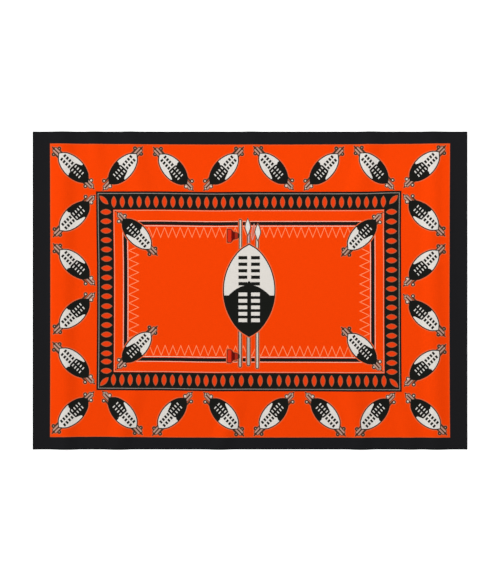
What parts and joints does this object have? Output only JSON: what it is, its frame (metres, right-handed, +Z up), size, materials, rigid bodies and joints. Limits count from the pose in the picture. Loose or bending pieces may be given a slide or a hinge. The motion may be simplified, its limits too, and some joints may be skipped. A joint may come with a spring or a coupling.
{
  "type": "kanga wrap cloth",
  "caption": "Rectangular printed cotton wrap cloth laid flat face up, with soft ripples and a narrow turned hem at each short end.",
  "frame": {"origin": "middle of the underside, on the surface that the cloth lies on", "axes": "+X along the cloth's length towards its right end, +Y across its width towards its upper selvedge, +Z up out of the printed face"},
  "size_m": [1.5, 1.097, 0.0072],
  "materials": {
    "printed_cotton": "matt printed cotton in orange, black and off-white",
    "border_cotton": "matt black printed cotton"
  },
  "bodies": {
    "root": {"panel": "printed_cotton", "hem_left": "border_cotton", "hem_right": "border_cotton"}
  },
  "joints": []
}
